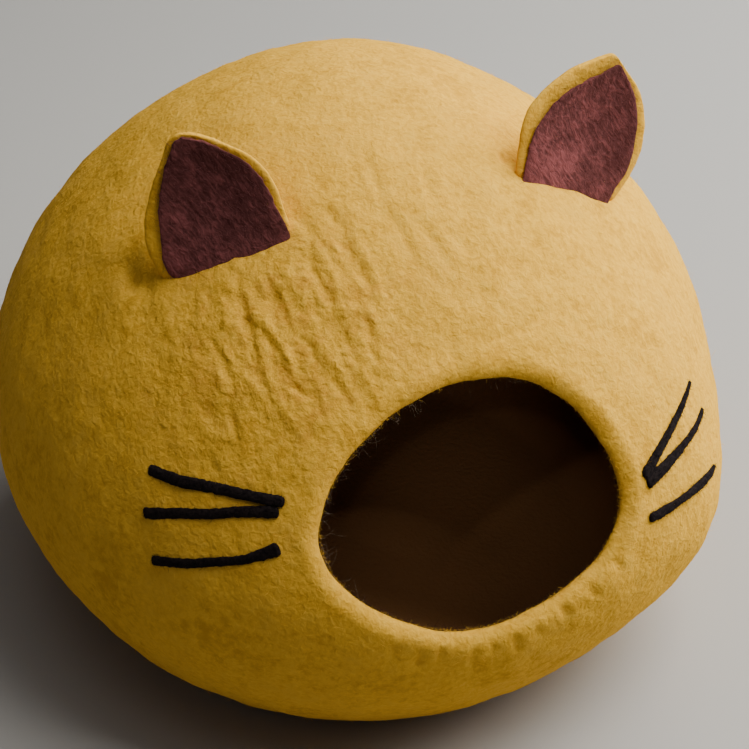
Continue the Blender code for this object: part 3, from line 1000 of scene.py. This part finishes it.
class CATCAVE_OT_lay_whiskers(bpy.types.Operator):
    """Lay the six black strands on the pod"""
    bl_idname = "catcave.lay_whiskers"
    bl_label = "Lay the Whiskers"

    def execute(self, context):
        sizes = context.scene.catcave_whiskers
        shape = PodShape(context.scene.catcave_pod)
        wool = black_wool_material(sizes)
        for number, (name, stops) in enumerate(WHISKERS.items()):
            self.make_strand(name, stops, sizes, shape, wool, number)
        return {"FINISHED"}

    def make_strand(self, name, stops, sizes, shape, material, number):
        """One strand: a sphere drawn out along its line, flat below and crowned above."""
        strand = start_piece(f"whisker_{name}_wool", bpy.ops.mesh.primitive_uv_sphere_add,
                             segments=WHISKER_SEGMENTS, ring_count=WHISKER_ROWS, radius=1.0)
        rows, around = rings_and_turns(strand.data, WHISKER_ROWS)
        along = 0.5 - 0.5 * np.sin(math.pi * (0.5 - rows / WHISKER_ROWS))
        blunt = np.sqrt(np.clip(1 - np.abs(2 * along - 1) ** WHISKER_BLUNTNESS, 0, 1))
        toward, width = along_whisker(stops, along)
        after, before = (shape.skin(along_whisker(stops, np.clip(along + step, 0, 1))[0])
                         for step in (TANGENT_STEP, -TANGENT_STEP))
        out = shape.normals(toward)
        sideways = unit(np.cross(out, after - before))
        tufts = np.stack((along * WHISKER_TUFTS, 3 * np.sign(np.cos(around)),
                          np.full_like(along, number)), axis=-1)
        ragged = 1 + WHISKER_RAGGED * smooth_noise(tufts, 1.0, 9)
        aside = width / 2 * blunt * ragged * np.cos(around)
        crown = blunt * np.abs(np.sin(around)) ** 0.8
        lift = crown * np.where(np.sin(around) > 0, sizes.height, -WHISKER_SUNK)
        seat = shape.skin(toward) + aside[:, None] * sideways
        points = shape.skin_under(seat) + lift[:, None] * out
        set_corners(strand.data, points)
        lumps = lumpy(points, WHISKER_LUMPS) * (lift > 0)
        normals = get_corners(strand.data, "normal")
        set_corners(strand.data, points + lumps[:, None] * normals)
        finish_piece(strand, material, "black_wool", f"whisker_{name}")


def loose_ways(normals, rng, stand):
    """Directions and bends for fibres that lie nearly flat, at random ways round."""
    lying = rng.normal(size=normals.shape)
    lying = unit(lying - (lying * normals).sum(axis=1)[:, None] * normals)
    rise = np.abs(rng.normal(0, stand, size=(len(normals), 1)))
    ways = unit(lying + rise * normals)
    bends = FIBRE_BEND * rng.normal(size=normals.shape)
    bends -= FIBRE_DROOP * rise * normals
    return ways, bends


def fibre_faces(rings):
    """The faces of a three-sided needle: its point, then its rings of three, then its other end."""
    faces = []
    last = 3 * rings - 2
    for spoke in range(3):
        following = (spoke + 1) % 3
        faces.append((0, 1 + following, 1 + spoke))
        for low in range(1, last, 3):
            high = low + 3
            faces.append((low + spoke, low + following, high + following, high + spoke))
        faces.append((last + spoke, last + following, last + 3))
    return faces


def grow_fibres(name, spots, rng, thickness, look, stand, lengths, rings=2, curls=None, slant=None):
    """One mesh of many loose fibres: each is a bent three-sided needle, thin at both ends.

    The spots are the roots and the normals there, and a look is a material and its slot's name.
    The stand is how far fibres rise, and the lengths are in millimetres.  Curls, where given, are
    between which turns in radians a fibre's wave starts, and a slant is what most fibres lie along.
    """
    roots, normals = spots
    count = len(roots)
    ways, bends = loose_ways(normals, rng, stand)
    if slant is not None:
        slant = slant - (normals @ slant)[:, None] * normals
        ways = unit(ways + SLANT_SHARE * slant * rng.choice((-1, 1), size=(count, 1)))
    lengths = rng.uniform(*lengths, count)[:, None] * MM
    stations = np.linspace(0, 1, rings + 2)
    middles = (roots[:, None] + ways[:, None] * (lengths * stations)[..., None]
               + bends[:, None] * (lengths * stations ** 2)[..., None])
    helper = np.where(np.abs(ways[:, 2:]) < 0.9, (0.0, 0.0, 1.0), (1.0, 0.0, 0.0))
    side = unit(np.cross(ways, helper))
    other = np.cross(ways, side)
    if curls is not None:
        starts = rng.uniform(*curls, count)[:, None]
        turns = starts + 1.5 * starts * stations
        waves = FIBRE_CURL * lengths * (np.sin(turns) - np.sin(turns[:, :1]))
        middles = middles + waves[..., None] * side[:, None]
    spokes = np.stack([math.cos(angle) * side + math.sin(angle) * other
                       for angle in (0, 2 * math.pi / 3, 4 * math.pi / 3)], axis=1)
    radii = thickness / 2 * (1 - FIBRE_TAPER * stations[1:-1])
    ring_points = (middles[:, 1:-1, None]
                   + spokes[:, None] * radii[None, :, None, None]).reshape(count, -1, 3)
    points = np.concatenate((middles[:, :1], ring_points, middles[:, -1:]), axis=1)
    firsts = np.arange(count)[:, None] * points.shape[1]
    faces = [corners for face in fibre_faces(rings)
             for corners in (firsts + np.array(face)).tolist()]
    mesh = bpy.data.meshes.new(name)
    mesh.from_pydata(points.reshape(-1, 3).tolist(), [], faces)
    fibres = bpy.data.objects.new(name, mesh)
    bpy.context.scene.collection.objects.link(fibres)
    finish_piece(fibres, *look)


def scatter_on(name, count, rng, chance=None):
    """Random spots on a piece, with the normals there; more of them where the chance is higher."""
    mesh = bpy.data.objects[name].data
    mesh.calc_loop_triangles()
    corners = get_corners(mesh)
    triangles = np.empty(len(mesh.loop_triangles) * 3, dtype=np.int32)
    mesh.loop_triangles.foreach_get("vertices", triangles)
    triangles = triangles.reshape(-1, 3)
    # sorted, because Blender lists a sphere's faces in another order in each run
    triangles = triangles[np.lexsort(triangles.T)]
    a, b, c = (corners[triangles[:, corner]] for corner in range(3))
    cross = np.cross(b - a, c - a)
    weights = np.linalg.norm(cross, axis=1)
    if chance is not None:
        weights = weights * chance((a + b + c) / 3, triangles)
    picked = rng.choice(len(triangles), size=count, p=weights / weights.sum())
    first, second = rng.random(count), rng.random(count)
    fold = first + second > 1
    first, second = np.where(fold, 1 - first, first), np.where(fold, 1 - second, second)
    points = (a[picked] + first[:, None] * (b - a)[picked] + second[:, None] * (c - a)[picked])
    return points, unit(cross[picked])


class CATCAVE_OT_raise_loose_wool(bpy.types.Operator):
    """Raise the loose fibres of the pod, its mouth, the ears and the whiskers"""
    bl_idname = "catcave.raise_loose_wool"
    bl_label = "Raise the Loose Wool"

    def execute(self, context):
        scene = context.scene
        wool = scene.catcave_loose_wool
        pod = scene.catcave_pod
        rng = np.random.default_rng(WOOL_SEED)
        mustard = (fibre_material("Loose mustard wool", pod.felt_pale, pod.felt), "mustard_felt")
        self.on_the_pod(wool, mustard, rng)
        self.at_the_mouth(wool, PodShape(pod), mustard, rng)
        burgundy = (fibre_material("Loose burgundy wool", linear("84504F"),
                                   scene.catcave_ears.lining), "burgundy_felt")
        black = (fibre_material("Loose black wool", linear("1E181C"), linear("100C10")),
                 "black_wool")
        for side in EARS:
            lining, back = f"ear_{side}_lining", f"ear_{side}_back"
            grow_fibres(f"{lining}_loose_wool", scatter_on(f"{lining}_felt", 2600, rng), rng,
                        0.85 * wool.thickness, burgundy, stand=0.16, lengths=(2.0, 6.0), rings=4,
                        curls=(0.5, 3.0), slant=np.array(LINING_SLANT))
            grow_fibres(f"{back}_loose_wool", scatter_on(f"{back}_felt", 500, rng), rng,
                        wool.thickness, mustard, stand=0.35, lengths=(1.5, 4.0))
        for name in WHISKERS:
            grow_fibres(f"whisker_{name}_loose_wool", scatter_on(f"whisker_{name}_wool", 900, rng),
                        rng, 1.3 * wool.thickness, black, stand=0.12, lengths=(0.8, 2.2))
        return {"FINISHED"}

    def on_the_pod(self, wool, mustard, rng):
        """Short pale fibres all over the outside, rooted just under its skin."""
        mesh = bpy.data.objects["pod_felt"].data
        inside = np.empty(len(mesh.vertices), dtype=np.float32)
        mesh.attributes["inside"].data.foreach_get("value", inside)

        def chance(middles, triangles):
            return (inside[triangles].max(axis=1) < 0.3) * (middles[:, 2] > 0.006)

        roots, normals = scatter_on("pod_felt", wool.on_the_pod, rng, chance)
        grow_fibres("pod_loose_wool", (roots - FIBRE_SUNK * normals, normals), rng, wool.thickness,
                    mustard, stand=0.16, lengths=(2.0, 5.0), rings=3)

    def at_the_mouth(self, wool, shape, mustard, rng):
        """Dark fibres on the wall's free edge, and paler ones that stand into the opening."""
        dark = (fibre_material("Loose dark wool", linear("4A3832"), linear("22120A")),
                "mustard_felt")
        grey = (fibre_material("Loose grey wool", linear("9A8874"), linear("6A5846")),
                "mustard_felt")
        everywhere = rng.uniform(-math.pi, math.pi, wool.at_the_mouth)
        self.on_the_edge("mouth_dark_wool", shape, everywhere, (0.20, 0.75), rng, wool.thickness,
                         dark, stand=0.45, lengths=(1.5, 4.5))
        everywhere = rng.uniform(-math.pi, math.pi, wool.at_the_mouth)
        self.on_the_edge("mouth_mustard_wool", shape, everywhere, (0.10, 0.42), rng,
                         0.7 * wool.thickness, mustard, stand=0.4, lengths=(1.0, 2.4))
        count = wool.at_the_mouth // 2
        tufted = np.radians(rng.choice(GREY_TUFTS, count) + rng.normal(0, 7, count))
        self.on_the_edge("mouth_grey_wool", shape, tufted, (0.40, 0.95), rng,
                         0.65 * wool.thickness, grey, stand=0.32, lengths=(4.0, 9.5))

    def on_the_edge(self, name, shape, turn, over_range, rng, thickness, look, stand, lengths):
        """Curly fibres rooted at turns round the wall's free edge."""
        over = rng.uniform(*over_range, len(turn)) * math.pi
        zero = np.zeros_like(turn)
        end = zero + LIP_CURL - LIP_EDGE_LENGTH / shape.sizes.lip_radius
        middle, back, outside, inside = (
            shape.wall(turn, zero, curl, zero + across)
            for curl, across in ((end, math.pi / 2), (end * 0.9, math.pi / 2), (end, 0),
                                 (end, math.pi)))
        normals = unit(np.sin(over)[:, None] * unit(middle - back)
                       + np.cos(over)[:, None] * unit(outside - inside))
        grow_fibres(name, (shape.wall(turn, zero, end, over), normals), rng, thickness, look,
                    stand, lengths, rings=6, curls=(0.5, 6.0))


def aim(thing, place, target):
    """Puts a camera or light at a place and points it at a target."""
    thing.location = place
    thing.rotation_euler = (target - place).to_track_quat("-Z", "Y").to_euler()


class CATCAVE_OT_set_stage(bpy.types.Operator):
    """Set the plain floor, the soft light and the camera"""
    bl_idname = "catcave.set_stage"
    bl_label = "Set the Stage"

    def execute(self, context):
        stage = context.scene.catcave_stage
        self.lay_floor(stage)
        self.hang_lights(context, stage)
        self.place_camera(context)
        return {"FINISHED"}

    def lay_floor(self, stage):
        """A wide plain pale floor just under the pod."""
        floor = start_piece("stage_floor", bpy.ops.mesh.primitive_plane_add, size=12.0,
                            location=(0.0, 0.0, -0.0005))
        material = bpy.data.materials.new("Matt pale floor")
        material.use_nodes = True
        fill_sockets(material.node_tree.nodes["Principled BSDF"],
                     {"Base Color": stage.floor, "Roughness": 0.9})
        floor.data.materials.append(material)

    def hang_lights(self, context, stage):
        """Soft lights, most of them from the right as from a window, and a weak even sky."""
        middle = Vector((0.0, 0.0, CAD_BOX[1][2] / 2))
        for name, light in LIGHTS.items():
            data = self.hang_light(context, name, light, "AREA", stage.power, middle)
            data.shape = "SQUARE"
            data.size = light.size
        for name, beam in MOUTH_BEAMS.items():
            data = self.hang_light(context, name, beam, "SPOT", stage.mouth_power,
                                   Vector(MOUTH_MIDDLE))
            data.spot_size = math.radians(beam.spread)
            data.spot_blend = 1.0
            data.shadow_soft_size = BEAM_SOFTNESS
        world = bpy.data.worlds.new("Even sky")
        world.use_nodes = True
        fill_sockets(world.node_tree.nodes["Background"],
                     {"Color": SKY_COLOUR, "Strength": stage.sky})
        context.scene.world = world

    def hang_light(self, context, name, light, kind, power, target):
        """One light in its place and pointed at a target: its data."""
        data = bpy.data.lights.new(f"stage_{name}", kind)
        data.energy = light.share * power
        lamp = bpy.data.objects.new(f"stage_{name}", data)
        context.scene.collection.objects.link(lamp)
        toward = Vector(heading(light.azimuth, light.elevation))
        aim(lamp, target + LIGHT_DISTANCE * toward, target)
        return data

    def place_camera(self, context):
        """A long lens, from the front left and above."""
        data = bpy.data.cameras.new("stage_camera")
        data.lens = CAMERA_LENS
        data.sensor_width = CAMERA_SENSOR
        camera = bpy.data.objects.new("stage_camera", data)
        context.scene.collection.objects.link(camera)
        aim(camera, CAMERA_PLACE, CAMERA_AIM)
        camera.rotation_euler.rotate_axis("Z", CAMERA_ROLL)
        context.scene.camera = camera


class CATCAVE_PT_panel(bpy.types.Panel):
    """The cat cave's steps, in order"""
    bl_label = "Felt Cat Cave"
    bl_idname = "CATCAVE_PT_panel"
    bl_space_type = "VIEW_3D"
    bl_region_type = "UI"
    bl_category = "Cat Cave"

    def draw(self, context):
        for settings, operator in STEPS:
            box = self.layout.box()
            group = getattr(context.scene, settings)
            for name in group.bl_rna.properties.keys():
                if name not in ("rna_type", "name"):
                    box.prop(group, name)
            box.operator(operator.bl_idname)


STEPS = (
    ("catcave_pod", CATCAVE_OT_felt_pod),
    ("catcave_ears", CATCAVE_OT_felt_ears),
    ("catcave_whiskers", CATCAVE_OT_lay_whiskers),
    ("catcave_loose_wool", CATCAVE_OT_raise_loose_wool),
    ("catcave_stage", CATCAVE_OT_set_stage),
)
SETTINGS = {
    "catcave_pod": PodSettings,
    "catcave_ears": EarSettings,
    "catcave_whiskers": WhiskerSettings,
    "catcave_loose_wool": LooseWoolSettings,
    "catcave_stage": StageSettings,
}


def register():
    """Registers the settings, the operators and the panel."""
    for name, group in SETTINGS.items():
        bpy.utils.register_class(group)
        setattr(bpy.types.Scene, name, PointerProperty(type=group))
    for _, operator in STEPS:
        bpy.utils.register_class(operator)
    bpy.utils.register_class(CATCAVE_PT_panel)


def unregister():
    """Takes them away again."""
    bpy.utils.unregister_class(CATCAVE_PT_panel)
    for _, operator in reversed(STEPS):
        bpy.utils.unregister_class(operator)
    for name, group in SETTINGS.items():
        delattr(bpy.types.Scene, name)
        bpy.utils.unregister_class(group)


def main():
    """Builds the cat cave step by step."""
    register()
    bpy.ops.catcave.felt_pod()
    bpy.ops.catcave.felt_ears()
    bpy.ops.catcave.lay_whiskers()
    bpy.ops.catcave.raise_loose_wool()
    bpy.ops.catcave.set_stage()


if __name__ == "__main__":
    main()
